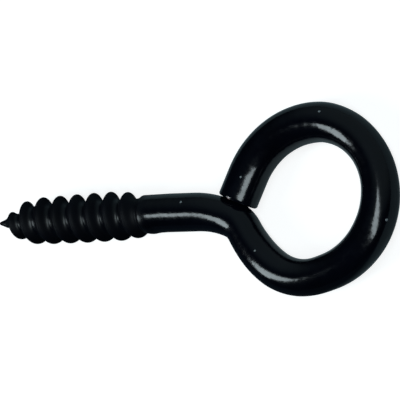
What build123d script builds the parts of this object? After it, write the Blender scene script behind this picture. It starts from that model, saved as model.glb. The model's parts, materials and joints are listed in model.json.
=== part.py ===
"""Screw eye, bent and rolled from one length of steel wire.

It lies flat, with its eye in the XY plane, its gimlet point at -X and its eye at +X.
The origin is the middle of its bounding box. Millimetres and degrees.
"""

import os
from math import cos, radians, sin, sqrt, tan

from build123d import *

# the wire
wire_diameter = 4.2
cut_edge_bevel = 0.25  # the worn rim of its sheared end

# the eye, and the neck that leads into it
eye_inner_diameter = 12.4
eye_offset = 0.5  # how far the eye's centre stands off the shank's axis
neck_angle = 50.0  # slope of the straight stretch between the neck bend and the eye
neck_inner_radius = 0.2  # nearly a crease
closing_gap = 0.08  # between the sheared end and the neck that it closes onto

# the plain shank, with the slight set that bending the eye leaves in it
set_angle = 3.5
set_radius = 20.0  # along the middle of the wire
set_distance = 3.2  # from the end of the thread to the corner of the set
neck_distance = 6.74  # from there to the corner of the neck bend

# the rolled thread, which is right-handed
thread_length = 19.6  # from the point to where the thread has run out
thread_pitch = 2.2
thread_start = 118.0  # how far the crest has turned about the shank, from +Y, at the point
crest_rise = 0.65  # how far rolling raises the crest above the wire
root_depth = 0.4  # how deep rolling presses the root into the wire
crest_width = 0.5  # of the land on the crest
ridge_width = 2.0  # of the whole ridge, down at its foot
crest_run_out = 3.2  # length over which the crest sinks back to the wire
root_run_out = 0.8  # length over which the root rises to the wire

# the gimlet point
nose_length = 5.9  # over which the thread grows to its full diameter
core_taper = 18.0  # half angle of the cone that the root follows
point_radius = 0.15

# how the ridge of the thread is skinned
ridge_start = 0.5  # from the point
ridge_lead = 1.0  # length over which it rises out of the core
ridge_sink = 0.1  # how deep its foot and both its ends sit under the surface
flank_bands = 3  # narrow bands that each flank is laid in
stations_per_turn = 12

wire_radius = wire_diameter / 2
crest_radius = wire_radius + crest_rise
root_radius = wire_radius - root_depth
eye_radius = eye_inner_diameter / 2 + wire_radius  # to the middle of the wire
neck_radius = neck_inner_radius + wire_radius
cone_length = (root_radius - point_radius) / tan(radians(core_taper))


def direction(angle):
    """Unit vector in the plane of the eye, turned from +X."""
    return Vector(cos(radians(angle)), sin(radians(angle)))


# the run of the wire from the point: through the set and the neck bend to the eye's centre
shank_direction = direction(-set_angle)
neck_direction = direction(-neck_angle)
to_set = Vector(thread_length + set_distance, 0)
to_neck = to_set + shank_direction * neck_distance
neck_run = (to_neck.Y - eye_offset + eye_radius * cos(radians(neck_angle))) / sin(radians(neck_angle))
to_eye_start = to_neck + neck_direction * neck_run
to_eye_centre = to_eye_start + direction(90 - neck_angle) * eye_radius
overall_length = to_eye_centre.X + eye_radius + wire_radius

point = Vector(-overall_length / 2, -eye_offset)
set_corner = point + to_set
neck_corner = point + to_neck
eye_start = point + to_eye_start
eye_centre = point + to_eye_centre
set_trim = set_radius * tan(radians(set_angle) / 2)
half_bend = radians(neck_angle - set_angle) / 2
neck_trim = neck_radius * tan(half_bend)

# the sheared end closes square onto the outside of the neck bend, at the middle of the bend
closing_angle = (set_angle + neck_angle) / 2
outward = direction(90 - closing_angle)
neck_outside = neck_corner + outward * (wire_radius - neck_radius * (1 / cos(half_bend) - 1))
eye_turn = 270 + neck_angle - closing_angle
tail_length = (eye_centre - neck_outside).dot(outward) - closing_gap


# the ridge goes on past the end of the thread, until its crest has sunk into the wire
ridge_length = thread_length - ridge_start + ridge_sink * crest_run_out / crest_rise
turn_count = round(ridge_length / thread_pitch)


def root_height(x):
    """Radius of the thread's root, x from the point."""
    return min(point_radius + max(0.0, x) * tan(radians(core_taper)), root_radius)


def crest_height(x):
    """Radius of the thread's crest, x from the point: a rounded nose and a run-out."""
    growth = crest_radius - point_radius
    nose_radius = (nose_length**2 + growth**2) / (2 * growth)
    before_full = max(0.0, nose_length - x)
    nose_drop = nose_radius - sqrt(nose_radius**2 - before_full**2)
    run_out = max(0.0, x - thread_length + crest_run_out) / crest_run_out
    full = crest_radius - nose_drop - run_out * crest_rise
    sunk = root_height(x) - ridge_sink / 2
    return sunk + (full - sunk) * min(1.0, (x - ridge_start) / ridge_lead)


def ridge_section(x):
    """Corners of the ridge's section, x from the point, over the ridge from foot to foot."""
    crest = crest_height(x)
    full_height = crest_radius - root_radius + ridge_sink
    growth = min(1.0, (crest - root_height(x) + ridge_sink) / full_height)
    turned = radians(thread_start + 360 * x / thread_pitch)
    flanks = []
    for way in (-1, 1):
        crest_x = x + way * growth * crest_width / 2
        foot_x = x + way * growth * ridge_width / 2
        foot = root_height(foot_x) - ridge_sink
        flank = []
        for band in range(flank_bands + 1):
            down = band / flank_bands
            along = crest_x + (foot_x - crest_x) * down
            radius = crest + (foot - crest) * down
            flank.append(point + Vector(along, radius * cos(turned), radius * sin(turned)))
        flanks.append(flank)
    return flanks[0][::-1] + flanks[1]


# the ridge, a solid for about each turn, skinned between splines through the corners of its sections
ridge_turns = []
for turn in range(turn_count):
    sections = []
    for station in range(stations_per_turn + 1):
        share = (turn + station / stations_per_turn) / turn_count
        sections.append(ridge_section(ridge_start + ridge_length * share))
    edges = [Edge.make_spline(list(corners)) for corners in zip(*sections)]
    skins = [Face.make_surface_from_curves(*pair) for pair in zip(edges, edges[1:] + edges[:1])]
    ends = [Face(Wire.make_polygon(section)) for section in (sections[0], sections[-1])]
    ridge_turns.append(Solid(Shell(skins + ends)))

with BuildPart() as screw_eye:
    # the wire, in the order that it is bent, to the straight end that closes the eye
    with BuildLine() as wire_line:
        lead = Line(point + Vector(thread_length, 0), set_corner - Vector(set_trim, 0))
        set_bend = JernArc(lead @ 1, lead % 1, set_radius, -set_angle)
        shank = Line(set_bend @ 1, neck_corner - shank_direction * neck_trim)
        neck_bend = JernArc(shank @ 1, shank % 1, neck_radius, set_angle - neck_angle)
        neck = Line(neck_bend @ 1, eye_start)
        eye = JernArc(neck @ 1, neck % 1, eye_radius, eye_turn)
        tail = Line(eye @ 1, (eye @ 1) - outward * tail_length)
    with BuildSketch(Plane(lead @ 0, z_dir=lead % 0)):
        Circle(wire_radius)
    sweep(path=wire_line.wire())
    cut_face = screw_eye.faces().sort_by_distance(tail @ 1)[0]
    chamfer(cut_face.edges(), cut_edge_bevel)

    # the core of the threaded end, and the ridge that stands on it
    with BuildSketch(Plane(point, x_dir=(1, 0, 0), z_dir=(0, -1, 0))):
        with BuildLine():
            Polyline(
                (0, 0),
                (0, point_radius),
                (cone_length, root_radius),
                (thread_length - root_run_out, root_radius),
                (thread_length, wire_radius),
                (thread_length, 0),
                close=True,
            )
        make_face()
    revolve(axis=Axis(point, (1, 0, 0)))
    add(ridge_turns)

screw_eye.part.label = "screw_eye"
os.makedirs("parts", exist_ok=True)
export_step(screw_eye.part, "parts/screw_eye.step")
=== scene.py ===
"""Looks of a screw eye: one black-coated steel wire, threaded, with its end bent round to an eye.

The eye lies in the XY plane, and the gimlet point is at -X. Sizes are in millimetres and angles in
degrees, and MM turns them into the metres of the frame.
"""

import json
from math import cos, pi, radians, sin, sqrt, tan

import bpy
from mathutils import Matrix, Vector


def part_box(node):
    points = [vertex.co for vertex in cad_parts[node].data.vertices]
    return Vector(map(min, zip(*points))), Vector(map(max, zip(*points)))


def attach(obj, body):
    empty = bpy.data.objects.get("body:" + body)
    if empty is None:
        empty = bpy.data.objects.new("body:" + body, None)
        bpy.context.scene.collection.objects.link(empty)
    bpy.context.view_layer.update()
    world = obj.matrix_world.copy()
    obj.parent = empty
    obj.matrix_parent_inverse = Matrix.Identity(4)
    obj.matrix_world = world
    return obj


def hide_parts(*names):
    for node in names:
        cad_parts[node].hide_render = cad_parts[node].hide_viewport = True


MM = 0.001

# ---------------------------------------------------------------- sizes of the wire

# the run of the wire from its point: the length of each stretch, and its turn to the left
run = [
    (21.2, 0.0),  # threaded end and plain shank
    (1.5, -1.5),
    (2.7, 0.0),
    (5.0, -25.0),  # the shank yields before the neck
    (1.9, -32.5),  # the neck
    (2.2, 7.0),
    (3.3, 16.0),  # the eye, which is not quite round
    (5.7, 49.5),
    (1.5, 4.0),
    (21.6, 149.0),
    (1.0, 10.5),
    (10.7, 68.5),
    (3.1, 0.0),  # the free end
]

# distance along the wire, and its radius there with the coat: bending drew it thin or swelled it
thickness = [
    (25.0, 2.12),  # shank
    (31.0, 1.95),  # neck
    (37.0, 2.07),
    (42.5, 1.99),
    (52.0, 2.12),  # far side of the eye
    (60.0, 2.0),
    (70.0, 2.22),  # free end
]

# the two ends of the wire
tip_radius = 0.15
tip_bluntness = 0.4  # share of the tip's radius that it starts with
cut_rounding = 0.28  # of the rim of the cut end
no_limit = 10.0  # radius that nothing between the ends comes near

# the coat is a little thicker on the neck, on the side that faces the cut end
swell_middle = 30.2
swell_reach = 2.4
swell_rise = 0.12
swell_side = (0.6, 0.8, 0)
swell_full = 0.9  # cosine off that side from which the swell is full

# how closely rings of points skin the wire
thread_spacing = 0.05
plain_spacing = 0.2
tip_rings = (0.02, 0.05, 0.09)  # distances from the point
tip_rings_end = 0.1  # where the evenly spaced rings take over
rim_rings = (0.26, 0.21, 0.16, 0.11, 0.07, 0.035, 0.01)  # distances from the cut end
wire_counts = {"Points Around": 96}

# the rolled thread, its gimlet point, and the faint waves of the coat
wire_sizes = {
    "Pitch": 2.212 * MM,
    "Phase": 0.829,  # in turns
    "Sharpness": 2.3,  # how narrow the ridge is beside the root
    "Thread Lead": 2.6 * MM,  # over which the ridge rises out of the core at the point
    "Run-Out Skew": 1.6 * MM,  # how much earlier it ends on the left, and later on the right
    "Crest Radius": 2.75 * MM,
    "Crest Run-Out": 3.6 * MM,
    "Thread End": 19.9 * MM,
    "Taper": 0.209 * MM,
    "Taper Length": 12.0 * MM,
    "Root Radius": 1.8 * MM,
    "Root Run-Out": 0.53 * MM,
    "Root End": 19.28 * MM,
    "Nose Length": 5.94 * MM,
    "Core Slope": tan(radians(17.7)),
    "Point Radius": tip_radius * MM,
    "Wave Height": 0.04 * MM,
    "Wave Scale": 420.0,
}
thread_calm = 0.2  # share of the waves' height that is left on the thread

# specks of dust under the coat: distance along the wire, and turn about it from its left side
nibs = [
    (24.6, 66.0),
    (35.8, 78.0),
    (53.0, 147.0),
    (64.8, 75.0),
    (66.8, 114.0),
    (78.7, 78.0),
    (27.5, 215.0),  # the last three are underneath
    (43.0, 250.0),
    (61.0, 290.0),
]
nib_depth = 0.01  # how deep the middle of a mound lies in the coat
nib_sizes = {"Mound Radius": 0.14 * MM, "Flatness": 0.5, "Smallest": 0.75, "Largest": 1.15}
nib_counts = {"Segments": 20, "Rings": 12, "Seed": 4}

# ---------------------------------------------------------------- colours of the coat and the studio

coat_dark = (0.0002, 0.0005, 0.0020, 1)
coat_pale = (0.0007, 0.0013, 0.0040, 1)
coat_index = 1.45
dust_grey = (0.16, 0.18, 0.19, 1)
rubbed_steel = (0.35, 0.25, 0.25, 1)
bare_reach = (0.1, 0.3)  # how far the bare spot reaches, and where the coat is whole again
noise_span = (0.3, 0.75)  # between which noise mostly lies
cloud_scale = 260.0
peel_scale = 1500.0
peel_depth = 0.04
peel_strength = 0.4
smoothest = 0.12  # roughness of the plain coat
roughest = 0.19
groove_roughness = 0.17  # what the thread adds
ridge_roughness = 0.25  # what its worn ridge adds on top
plain_sheen = 0.5
groove_dulling = 0.1
ridge_dulling = 0.25
groove_edges = (0.6, 0.95)  # share of its depth down to which all is ridge, and from which all is groove
thread_end = 19.5  # where the thread's finish gives way to the plain coat, from the point
finish_fade = (-1.5, 1.0)  # from there

white = (1, 1, 1, 1)
floor_grey = (0.42, 0.42, 0.42, 1)
floor_glow = 0.8
# the table that reflections see is a shaded copy of the floor, with painted shade, dimmer than the floor the
# camera sees
table_shade_pale = (0.24, 0.30, 0.32, 1)
table_shade_dark = (0.03, 0.04, 0.05, 1)
table_shade_way = (-0.5, -0.87, 0)  # the way towards which the painted shade on the table darkens
table_shade_way_reach = 4.0
# a pool of light painted on the table within the eye, seen only in reflections
eye_painted_light = (0.50, 0.57, 0.59, 1)
eye_painted_light_offset = (-1.2, -2.0, 0)
eye_painted_light_reach = (3.5, 8.0)
floor_size = 6.0  # metres

room_tint = (0.74, 1.0, 1.08, 1)
room_glow = 0.010
wall_glow = 0.19
wall_direction = (0.35, 0.75, 0.56)
wall_edges = (0.35, 0.9)  # cosines off that direction between which the wall fades in
lamp_tint = (0.86, 1.0, 1.05)


# ---------------------------------------------------------------- the run of the wire


def run_of_wire(start):
    """Stations along the wire's middle, each a distance, a place and a heading, and the wire's length."""
    stations = []
    place, heading, distance = Vector(start), 0.0, 0.0
    for length, turn in run:
        spacing = thread_spacing if distance == 0 else plain_spacing
        count = max(4, round(length / spacing))
        bend = radians(turn) / length
        for index in range(count + 1):
            along = length * index / count
            angle = heading + bend * along
            if turn:
                step = Vector((sin(angle) - sin(heading), cos(heading) - cos(angle), 0)) / bend
            else:
                step = Vector((cos(heading), sin(heading), 0)) * along
            stations.append((distance + along, place + step, angle))
        last = stations[-1] if (length, turn) == run[-1] else stations.pop()
        distance, place, heading = last
    return stations, distance


def smooth(share):
    """Eases a share from 0 to 1."""
    return share * share * (3 - 2 * share)


def wire_radius(distance):
    """Radius of the coated wire, eased between the places where it is given."""
    if distance <= thickness[0][0]:
        return thickness[0][1]
    for (low, before), (high, after) in zip(thickness, thickness[1:]):
        if distance <= high:
            return before + (after - before) * smooth((distance - low) / (high - low))
    return thickness[-1][1]


def neck_swell(distance):
    """How far the thicker coat on the neck stands out, beside the cut end."""
    off = min(1.0, abs(distance - swell_middle) / swell_reach)
    return swell_rise * (1 - smooth(off))


def quarter_round(radius, distance):
    """Height of a rounding of that radius, this far from where it starts."""
    return sqrt(max(radius**2 - (radius - distance) ** 2, 0))


def end_limit(distance, total):
    """The largest radius that the rounded point and the rounded rim of the cut end leave."""
    if distance < tip_radius:
        return tip_bluntness * tip_radius + (1 - tip_bluntness) * quarter_round(tip_radius, distance)
    left = total - distance
    if left < cut_rounding:
        return wire_radius(distance) - cut_rounding + quarter_round(cut_rounding, left)
    return no_limit


def centre_line(name, stations, total):
    """The wire's middle line as a mesh of edges, which tells the tree the wire's radius all along."""
    mesh = bpy.data.meshes.new(name)
    places = [place * MM for _, place, _ in stations]
    mesh.from_pydata(places, [(i, i + 1) for i in range(len(places) - 1)], [])
    values = {
        "distance": [d * MM for d, _, _ in stations],
        "wire": [wire_radius(d) * MM for d, _, _ in stations],
        "limit": [end_limit(d, total) * MM for d, _, _ in stations],
        "swell": [neck_swell(d) * MM for d, _, _ in stations],
    }
    for key, numbers in values.items():
        mesh.attributes.new(key, "FLOAT", "POINT").data.foreach_set("value", numbers)
    line = bpy.data.objects.new(name, mesh)
    bpy.context.collection.objects.link(line)
    return line


def with_close_ends(stations, total):
    """The stations with more of them where the point and the rim of the cut end are rounded."""
    first, last = stations[0], stations[-1]
    ahead = Vector((cos(first[2]), sin(first[2]), 0))
    back = Vector((-cos(last[2]), -sin(last[2]), 0))
    at_point = [(off, first[1] + ahead * off, first[2]) for off in tip_rings]
    at_rim = [(total - off, last[1] + back * off, last[2]) for off in rim_rings]
    between = [s for s in stations[1:-1] if tip_rings_end < s[0] < total - cut_rounding]
    return [first] + at_point + between + at_rim + [last]


def speck_points(name, stations):
    """A point on the coat for each speck, with the direction out of the wire."""
    places, outs = [], []
    for distance, turn in nibs:
        station = min(stations, key=lambda s: abs(s[0] - distance))
        left = Vector((-sin(station[2]), cos(station[2]), 0))
        out = left * cos(radians(turn)) + Vector((0, 0, sin(radians(turn))))
        places.append((station[1] + out * (wire_radius(distance) - nib_depth)) * MM)
        outs.append(out)
    mesh = bpy.data.meshes.new(name)
    mesh.from_pydata(places, [], [])
    parts = [part for out in outs for part in out]
    mesh.attributes.new("out", "FLOAT_VECTOR", "POINT").data.foreach_set("vector", parts)
    points = bpy.data.objects.new(name, mesh)
    bpy.context.collection.objects.link(points)
    return points


# ---------------------------------------------------------------- node helpers


class Nodes:
    """Adds nodes to a tree and joins them, so that a sum reads like a sum."""

    def __init__(self, tree):
        self.tree = tree

    def add(self, kind, inputs=None, **settings):
        """A new node with these settings, and with these values or links on its inputs."""
        node = self.tree.nodes.new(kind)
        for key, value in settings.items():
            setattr(node, key, value)
        for key, value in (inputs or {}).items():
            self.put(node.inputs[key], value)
        return node

    def put(self, socket, value):
        """Links the value to the socket, or sets it there if it is plain."""
        if isinstance(value, bpy.types.NodeSocket):
            self.tree.links.new(value, socket)
        else:
            socket.default_value = value

    def math(self, operation, *values, clamp=False):
        node = self.add("ShaderNodeMath", operation=operation, use_clamp=clamp)
        for socket, value in zip(node.inputs, values):
            self.put(socket, value)
        return node.outputs[0]

    def vector(self, operation, *values, output=0):
        node = self.add("ShaderNodeVectorMath", operation=operation)
        sockets = [s for s in node.inputs if s.enabled]
        for socket, value in zip(sockets, values):
            self.put(socket, value)
        return node.outputs[output]

    def scaled(self, vector, factor):
        node = self.add("ShaderNodeVectorMath", operation="SCALE")
        self.put(node.inputs[0], vector)
        self.put(node.inputs["Scale"], factor)
        return node.outputs[0]

    def eased(self, value, low, high):
        """The value from 0 at low to 1 at high, level outside them."""
        node = self.add("ShaderNodeMapRange", {"Value": value}, interpolation_type="SMOOTHSTEP")
        self.put(node.inputs["From Min"], low)
        self.put(node.inputs["From Max"], high)
        return node.outputs[0]

    def mixed(self, factor, first, second):
        """The colour that lies this far from the first to the second."""
        node = self.add("ShaderNodeMix", {"Factor": factor}, data_type="RGBA")
        for socket, value in zip([s for s in node.inputs if s.enabled][1:], (first, second)):
            self.put(socket, value)
        return next(s for s in node.outputs if s.enabled)

    def attribute(self, name, data_type="FLOAT"):
        """In a geometry tree, what the mesh says about each point under that name."""
        node = self.add("GeometryNodeInputNamedAttribute", data_type=data_type)
        node.inputs["Name"].default_value = name
        return node.outputs["Attribute"]

    def painted(self, name):
        """The same in a material."""
        node = self.add("ShaderNodeAttribute", attribute_name=name, attribute_type="GEOMETRY")
        return node.outputs["Fac"]

    def stored(self, geometry, name, value):
        """The geometry with that value kept on its points under that name."""
        inputs = {"Geometry": geometry, "Name": name}
        node = self.add("GeometryNodeStoreNamedAttribute", inputs, data_type="FLOAT", domain="POINT")
        self.put(next(s for s in node.inputs if s.name == "Value" and s.enabled), value)
        return node.outputs[0]

    def noise(self, inputs):
        return self.add("ShaderNodeTexNoise", inputs).outputs[0]


def new_tree(name, floats, integers):
    """A geometry tree with its named sizes as inputs."""
    tree = bpy.data.node_groups.new(name, "GeometryNodeTree")
    sockets = tree.interface
    sockets.new_socket("Geometry", in_out="INPUT", socket_type="NodeSocketGeometry")
    for label, value in floats.items():
        sockets.new_socket(label, in_out="INPUT", socket_type="NodeSocketFloat").default_value = value
    for label, value in integers.items():
        sockets.new_socket(label, in_out="INPUT", socket_type="NodeSocketInt").default_value = value
    sockets.new_socket("Material", in_out="INPUT", socket_type="NodeSocketMaterial")
    sockets.new_socket("Geometry", in_out="OUTPUT", socket_type="NodeSocketGeometry")
    return tree


def run_tree(holder, tree, material, *sizes):
    """Gives the holder the tree with these sizes, and returns the plain mesh that it makes."""
    values = {"Material": material}
    for some in sizes:
        values.update(some)
    modifier = holder.modifiers.new(tree.name, "NODES")
    modifier.node_group = tree
    for item in tree.interface.items_tree:
        if item.item_type == "SOCKET" and item.in_out == "INPUT" and item.name in values:
            modifier[item.identifier] = values[item.name]
    evaluated = holder.evaluated_get(bpy.context.evaluated_depsgraph_get())
    mesh = bpy.data.meshes.new_from_object(evaluated)
    holder.modifiers.remove(modifier)
    bpy.data.objects.remove(holder)
    return mesh


# ---------------------------------------------------------------- the wire and its thread


def core_radius(n, x, wire, size):
    """Radius that the root of the thread follows, from the point to the plain wire."""
    cone = n.math("MULTIPLY_ADD", x, size["Core Slope"], size["Point Radius"])
    core = n.math("MINIMUM", cone, size["Root Radius"])
    run_out_start = n.math("SUBTRACT", size["Root End"], size["Root Run-Out"])
    run_out = n.eased(x, run_out_start, size["Root End"])
    return n.math("MULTIPLY_ADD", n.math("SUBTRACT", wire, core), run_out, core)


def crest_radius(n, x, wire, run_out, size):
    """Radius of the crest: a rounded nose, a slight taper, and a run-out that sinks into the wire."""
    growth = n.math("SUBTRACT", size["Crest Radius"], size["Point Radius"])
    nose_square = n.math("MULTIPLY", size["Nose Length"], size["Nose Length"])
    nose_radius = n.math("MULTIPLY_ADD", growth, growth, nose_square)
    nose_radius = n.math("DIVIDE", nose_radius, n.math("MULTIPLY", growth, 2.0))
    short = n.math("MAXIMUM", n.math("SUBTRACT", size["Nose Length"], x), 0.0)
    full_square = n.math("MULTIPLY", nose_radius, nose_radius)
    chord_square = n.math("SUBTRACT", full_square, n.math("MULTIPLY", short, short))
    drop = n.math("SUBTRACT", nose_radius, n.math("SQRT", chord_square))
    before_full = n.math("SUBTRACT", size["Taper Length"], x)
    taper = n.math("DIVIDE", before_full, size["Taper Length"], clamp=True)
    crest = n.math("SUBTRACT", size["Crest Radius"], drop)
    crest = n.math("SUBTRACT", crest, n.math("MULTIPLY", taper, size["Taper"]))
    return n.math("MULTIPLY_ADD", n.math("SUBTRACT", wire, crest), run_out, crest)


def ridge_share(n, x, turn, size):
    """How far up the ridge of the thread a point lies, from 0 in the root to 1 on the crest."""
    phase = n.math("SUBTRACT", n.math("DIVIDE", x, size["Pitch"]), turn)
    phase = n.math("ADD", phase, size["Phase"])
    off_crest = n.math("ABSOLUTE", n.math("SUBTRACT", n.math("FRACT", phase), 0.5))
    return n.math("POWER", n.math("COSINE", n.math("MULTIPLY", off_crest, pi)), size["Sharpness"])


def wire_tree(sizes, counts):
    """Skins the middle line with the coated wire and rolls the thread into it."""
    tree = new_tree("rolled_wire", sizes, counts)
    n = Nodes(tree)
    given = n.add("NodeGroupInput").outputs
    size = {label: given[label] for label in list(sizes) + list(counts)}
    position = n.add("GeometryNodeInputPosition").outputs[0]

    # a ring of points about each station of the middle line
    line = n.add("GeometryNodeMeshToCurve", {"Mesh": given["Geometry"]}).outputs[0]
    upright = n.add("GeometryNodeSetCurveNormal", {"Curve": line}, mode="Z_UP").outputs[0]
    middle = n.add("GeometryNodeCaptureAttribute", {"Geometry": upright}, domain="POINT")
    middle.capture_items.new("VECTOR", "Middle")
    n.put(middle.inputs["Middle"], position)
    around = {"Resolution": size["Points Around"], "Radius": 1 * MM}
    ring = n.add("GeometryNodeCurvePrimitiveCircle", around).outputs[0]
    skinning = {"Curve": middle.outputs["Geometry"], "Profile Curve": ring, "Fill Caps": True}
    skin = n.add("GeometryNodeCurveToMesh", skinning).outputs[0]

    # where each point lies: distance along the wire, direction out from its middle, and turn about it
    x = n.attribute("distance")
    wire = n.attribute("wire")
    out = n.vector("NORMALIZE", n.vector("SUBTRACT", position, middle.outputs["Middle"]))
    parts = n.add("ShaderNodeSeparateXYZ", {"Vector": out}).outputs
    turn = n.math("DIVIDE", n.math("ARCTAN2", parts["Z"], parts["Y"]), 2 * pi)

    # the thread stands on its core, and runs out into the plain wire
    run_out_start = n.math("SUBTRACT", size["Thread End"], size["Crest Run-Out"])
    skew = n.math("MULTIPLY", parts["Y"], size["Run-Out Skew"])
    run_out = n.eased(x, run_out_start, n.math("SUBTRACT", size["Thread End"], skew))
    core = core_radius(n, x, wire, size)
    crest = crest_radius(n, x, wire, run_out, size)
    share = ridge_share(n, x, turn, size)
    height = n.math("MAXIMUM", n.math("SUBTRACT", crest, core), 0.0)
    height = n.math("MULTIPLY", height, n.eased(x, 0.0, size["Thread Lead"]))
    radius = n.math("MULTIPLY_ADD", height, share, core)

    # the coat lies in faint waves, which are fainter on the thread, and swells on the neck
    waves = n.noise({"Scale": size["Wave Scale"], "Detail": 2.0})
    calm = n.math("MULTIPLY_ADD", run_out, 1 - thread_calm, thread_calm)
    wave_height = n.math("MULTIPLY", size["Wave Height"], calm)
    radius = n.math("ADD", radius, n.math("MULTIPLY", n.math("SUBTRACT", waves, 0.5), wave_height))
    facing = n.eased(n.vector("DOT_PRODUCT", out, swell_side, output=1), 0.0, swell_full)
    radius = n.math("MULTIPLY_ADD", n.attribute("swell"), facing, radius)
    radius = n.math("MINIMUM", radius, n.attribute("limit"))

    # each point moves out to its radius, and knows how deep it lies in the groove
    place = n.vector("ADD", middle.outputs["Middle"], n.scaled(out, radius))
    groove = n.math("MULTIPLY", n.math("SUBTRACT", 1.0, share), n.math("SUBTRACT", 1.0, run_out))
    marked = n.stored(skin, "groove", groove)
    placed = n.add("GeometryNodeSetPosition", {"Geometry": marked, "Position": place}).outputs[0]
    real = n.add("GeometryNodeRealizeInstances", {"Geometry": placed}).outputs[0]
    finish = {"Geometry": real, "Material": given["Material"]}
    coated = n.add("GeometryNodeSetMaterial", finish).outputs[0]
    n.put(n.add("NodeGroupOutput").inputs["Geometry"], coated)
    return tree


def nib_tree(sizes, counts):
    """Stands a small mound of coat on each speck of dust."""
    tree = new_tree("dust_nibs", sizes, counts)
    n = Nodes(tree)
    given = n.add("NodeGroupInput").outputs
    points = n.add("GeometryNodeMeshToPoints", {"Mesh": given["Geometry"]}).outputs[0]
    ball = {"Segments": given["Segments"], "Rings": given["Rings"], "Radius": given["Mound Radius"]}
    mound = n.add("GeometryNodeMeshUVSphere", ball).outputs[0]
    outwards = {"Vector": n.attribute("out", "FLOAT_VECTOR")}
    turned = n.add("FunctionNodeAlignRotationToVector", outwards, axis="Z").outputs[0]
    flat = n.add("ShaderNodeCombineXYZ", {"X": 1.0, "Y": 1.0, "Z": given["Flatness"]}).outputs[0]
    size = n.add("FunctionNodeRandomValue", {"Seed": given["Seed"]}, data_type="FLOAT")
    low, high = [s for s in size.inputs if s.enabled and s.name in ("Min", "Max")]
    n.put(low, given["Smallest"])
    n.put(high, given["Largest"])
    drawn = next(s for s in size.outputs if s.enabled)
    stood = n.add("GeometryNodeInstanceOnPoints", {"Points": points, "Instance": mound})
    n.put(stood.inputs["Rotation"], turned)
    n.put(stood.inputs["Scale"], n.scaled(flat, drawn))
    real = n.add("GeometryNodeRealizeInstances", {"Geometry": stood.outputs[0]}).outputs[0]
    finish = {"Geometry": n.stored(real, "dust", 1.0), "Material": given["Material"]}
    coated = n.add("GeometryNodeSetMaterial", finish).outputs[0]
    n.put(n.add("NodeGroupOutput").inputs["Geometry"], coated)
    return tree


def finished(name, mesh):
    """A piece at the origin with that mesh, smooth, with its faces outwards."""
    mesh.calc_loop_triangles()
    volume = 0.0
    for triangle in mesh.loop_triangles:
        first, second, third = [mesh.vertices[corner].co for corner in triangle.vertices]
        volume += first.dot(second.cross(third))
    if volume < 0:
        mesh.flip_normals()
    for guide in ("distance", "wire", "limit", "swell", "out"):
        if guide in mesh.attributes:
            mesh.attributes.remove(mesh.attributes[guide])
    mesh.shade_smooth()
    mesh.name = name
    piece = bpy.data.objects.new(name, mesh)
    bpy.context.collection.objects.link(piece)
    return piece


# ---------------------------------------------------------------- the black coat


def coat_colour(n, where, bare_spot):
    """Black that clouds a little, grey on the dust, and steel where the coat didn't take."""
    cloud = n.noise({"Vector": where, "Scale": cloud_scale, "Detail": 3.0, "Roughness": 0.6})
    tint = n.add("ShaderNodeValToRGB", {"Fac": cloud})
    ends = tint.color_ramp.elements
    ends[0].position, ends[0].color = noise_span[0], coat_dark
    ends[1].position, ends[1].color = noise_span[1], coat_pale
    dusty = n.mixed(n.painted("dust"), tint.outputs[0], dust_grey)
    off_spot = n.vector("DISTANCE", where, bare_spot, output=1)
    coated = n.eased(off_spot, bare_reach[0] * MM, bare_reach[1] * MM)
    return n.mixed(n.math("SUBTRACT", 1.0, coated), dusty, rubbed_steel)


def black_coat(point_x, bare_spot):
    """Thick glossy black enamel with a faint orange peel, duller on the thread and dullest on its ridge."""
    material = bpy.data.materials.new("black_coat")
    material.use_nodes = True
    n = Nodes(material.node_tree)
    shader = material.node_tree.nodes["Principled BSDF"].inputs
    where = n.add("ShaderNodeTexCoord").outputs["Object"]
    n.put(shader["Base Color"], coat_colour(n, where, bare_spot))

    x = n.add("ShaderNodeSeparateXYZ", {"Vector": where}).outputs["X"]
    fade = [point_x + (thread_end + off) * MM for off in finish_fade]
    plain = n.eased(x, *fade)
    threaded = n.math("SUBTRACT", 1.0, plain)
    groove = n.eased(n.painted("groove"), *groove_edges)
    ridge = n.math("SUBTRACT", threaded, groove, clamp=True)

    grain = n.noise({"Vector": where, "Scale": peel_scale, "Detail": 3.0, "Roughness": 0.6})
    spread = {"Value": grain, "From Min": noise_span[0], "From Max": noise_span[1]}
    spread.update({"To Min": smoothest, "To Max": roughest})
    gloss = n.add("ShaderNodeMapRange", spread).outputs[0]
    dull = n.math("MULTIPLY_ADD", ridge, ridge_roughness, n.math("MULTIPLY", threaded, groove_roughness))
    n.put(shader["Roughness"], n.math("ADD", gloss, dull))
    sheen = n.math("MULTIPLY_ADD", threaded, -groove_dulling, plain_sheen)
    n.put(shader["Specular IOR Level"], n.math("MULTIPLY_ADD", ridge, -ridge_dulling, sheen))

    peel = n.noise({"Vector": where, "Scale": peel_scale, "Detail": 2.0})
    strength = n.math("MULTIPLY", plain, peel_strength)
    bump = n.add("ShaderNodeBump", {"Height": peel, "Strength": strength, "Distance": peel_depth * MM})
    n.put(shader["Normal"], bump.outputs[0])
    shader["IOR"].default_value = coat_index
    return material


# ---------------------------------------------------------------- the studio


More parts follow.
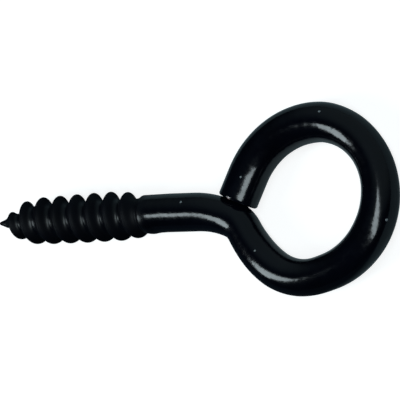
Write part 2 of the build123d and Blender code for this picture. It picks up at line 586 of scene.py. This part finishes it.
def pale_floor(painted_light_middle):
    """White to the camera, with the object's shadow, and to everything else a dim table of painted shade,
    with a painted pool of light within the eye.
    """
    material = bpy.data.materials.new("pale_floor")
    material.use_nodes = True
    tree = material.node_tree
    tree.nodes.remove(tree.nodes["Principled BSDF"])
    n = Nodes(tree)
    seen = n.add("ShaderNodeLightPath").outputs["Is Camera Ray"]
    bright = n.add("ShaderNodeAddShader")
    n.put(bright.inputs[0], n.add("ShaderNodeBsdfDiffuse", {"Color": floor_grey}).outputs[0])
    n.put(bright.inputs[1], n.add("ShaderNodeEmission", {"Color": white, "Strength": floor_glow}).outputs[0])

    # painted shade: the table that reflections see darkens towards the left and below
    where = n.add("ShaderNodeTexCoord").outputs["Object"]
    across = n.vector("DOT_PRODUCT", where, table_shade_way, output=1)
    painted_darkness = n.eased(across, -table_shade_way_reach * MM, table_shade_way_reach * MM)
    table = n.mixed(painted_darkness, table_shade_pale, table_shade_dark)

    # painted light: a pale pool painted on the table within the eye, standing in for the light that its
    # shiny inside throws there
    off_painted_light = n.vector("DISTANCE", where, painted_light_middle, output=1)
    beyond = n.eased(off_painted_light, eye_painted_light_reach[0] * MM, eye_painted_light_reach[1] * MM)
    dim = n.add("ShaderNodeBsdfDiffuse", {"Color": n.mixed(beyond, eye_painted_light, table)}).outputs[0]

    shown = n.add("ShaderNodeMixShader", {"Fac": seen})
    n.put(shown.inputs[1], dim)
    n.put(shown.inputs[2], bright.outputs[0])
    n.put(tree.nodes["Material Output"].inputs["Surface"], shown.outputs[0])
    return material


def studio_world():
    """White behind the floor for the camera, and for everything else a dark room with a dim pale wall."""
    world = bpy.data.worlds.new("studio")
    bpy.context.scene.world = world
    world.use_nodes = True
    n = Nodes(world.node_tree)
    seen = n.add("ShaderNodeLightPath").outputs["Is Camera Ray"]
    way = n.add("ShaderNodeTexCoord").outputs["Generated"]
    towards = n.vector("DOT_PRODUCT", way, wall_direction, output=1)
    wall = n.math("MULTIPLY", n.eased(towards, *wall_edges), wall_glow)
    background = world.node_tree.nodes["Background"].inputs
    n.put(background["Color"], n.mixed(seen, room_tint, white))
    n.put(background["Strength"], n.math("MAXIMUM", seen, n.math("ADD", wall, room_glow)))


def area_lamp(name, target, direction, long_way, width, height, radiance, distance=0.5):
    """An oval soft box that way from the target, this wide and high in degrees, high along long_way."""
    light = bpy.data.lights.new(name, "AREA")
    light.shape = "ELLIPSE"
    light.size = 2 * distance * tan(radians(height) / 2)
    light.size_y = 2 * distance * tan(radians(width) / 2)
    light.energy = radiance * pi * (pi / 4) * light.size * light.size_y
    light.color = lamp_tint
    away = Vector(direction).normalized()
    along = Vector(long_way) - away * Vector(long_way).dot(away)
    along.normalize()
    facing = Matrix((along, away.cross(along), away)).transposed().to_4x4()
    lamp = bpy.data.objects.new(name, light)
    lamp.matrix_world = Matrix.Translation(target + away * distance) @ facing
    bpy.context.collection.objects.link(lamp)


def studio_camera(target, tilt, bearing, roll, distance, lens):
    """A long lens that looks at the target, tilted off the eye's own axis towards the bearing."""
    turned = Matrix.Rotation(radians(bearing), 4, "Z") @ Matrix.Rotation(radians(tilt), 4, "Y")
    data = bpy.data.cameras.new("camera")
    data.lens = lens
    data.sensor_width = 36.0
    data.clip_start = 0.01
    place = target + turned.to_3x3() @ Vector((0, 0, distance))
    camera = bpy.data.objects.new("camera", data)
    camera.matrix_world = Matrix.Translation(place) @ turned @ Matrix.Rotation(radians(roll), 4, "Z")
    bpy.context.collection.objects.link(camera)
    bpy.context.scene.camera = camera


# ---------------------------------------------------------------- the scene

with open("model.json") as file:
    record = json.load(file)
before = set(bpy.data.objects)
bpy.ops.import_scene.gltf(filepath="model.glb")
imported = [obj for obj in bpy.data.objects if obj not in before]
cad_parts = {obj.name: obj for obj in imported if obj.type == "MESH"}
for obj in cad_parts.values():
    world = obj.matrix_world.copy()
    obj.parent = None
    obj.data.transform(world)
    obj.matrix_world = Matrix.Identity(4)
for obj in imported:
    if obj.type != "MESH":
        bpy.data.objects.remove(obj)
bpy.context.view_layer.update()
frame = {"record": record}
low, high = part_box("screw_eye")
mounts = {mount["name"]: mount for mount in frame["record"]["mounts"]}
point = Vector(mounts["threaded_shank"]["pos_m"])
eye_middle = Vector(mounts["eye"]["pos_m"])

stations, wire_length = run_of_wire(point / MM)
cut_middle = stations[-1][1]
bare_spot = (cut_middle + Vector((0, 0, wire_radius(wire_length)))) * MM
coat = black_coat(point.x, bare_spot)

line = centre_line("wire_line", with_close_ends(stations, wire_length), wire_length)
rolled = wire_tree(wire_sizes, wire_counts)
coated_wire = finished("coated_wire", run_tree(line, rolled, coat, wire_sizes, wire_counts))
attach(coated_wire, "root")
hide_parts("screw_eye")

specks = speck_points("speck_points", stations)
mounds = nib_tree(nib_sizes, nib_counts)
dust_nibs = finished("dust_nibs", run_tree(specks, mounds, coat, nib_sizes, nib_counts))
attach(dust_nibs, "root")

# the floor lies under the crests of the thread, which are the lowest places
bpy.ops.mesh.primitive_plane_add(size=floor_size, location=(0, 0, low[2]))
floor = bpy.context.object
floor.name = "floor"
floor.data.materials.append(pale_floor(eye_middle + Vector(eye_painted_light_offset) * MM))
studio_world()

# the camera and the lamps point just off the middle of the part
target = Vector((0.94, 0.70, 0.0)) * MM
area_lamp(
    "left_softbox",
    target,
    direction=(-0.683, -0.342, 0.652),
    long_way=(0.605, 0.257, 0.780),
    width=19,
    height=38,
    radiance=7.8,
)
area_lamp(
    "right_softbox",
    target,
    direction=(0.457, -0.157, 0.876),
    long_way=(0.526, -0.717, -0.469),
    width=15,
    height=54,
    radiance=7.4,
)
studio_camera(target, tilt=30.86, bearing=-16.65, roll=15.44, distance=348.5 * MM, lens=288.0)
bpy.context.scene.view_settings.view_transform = "Standard"
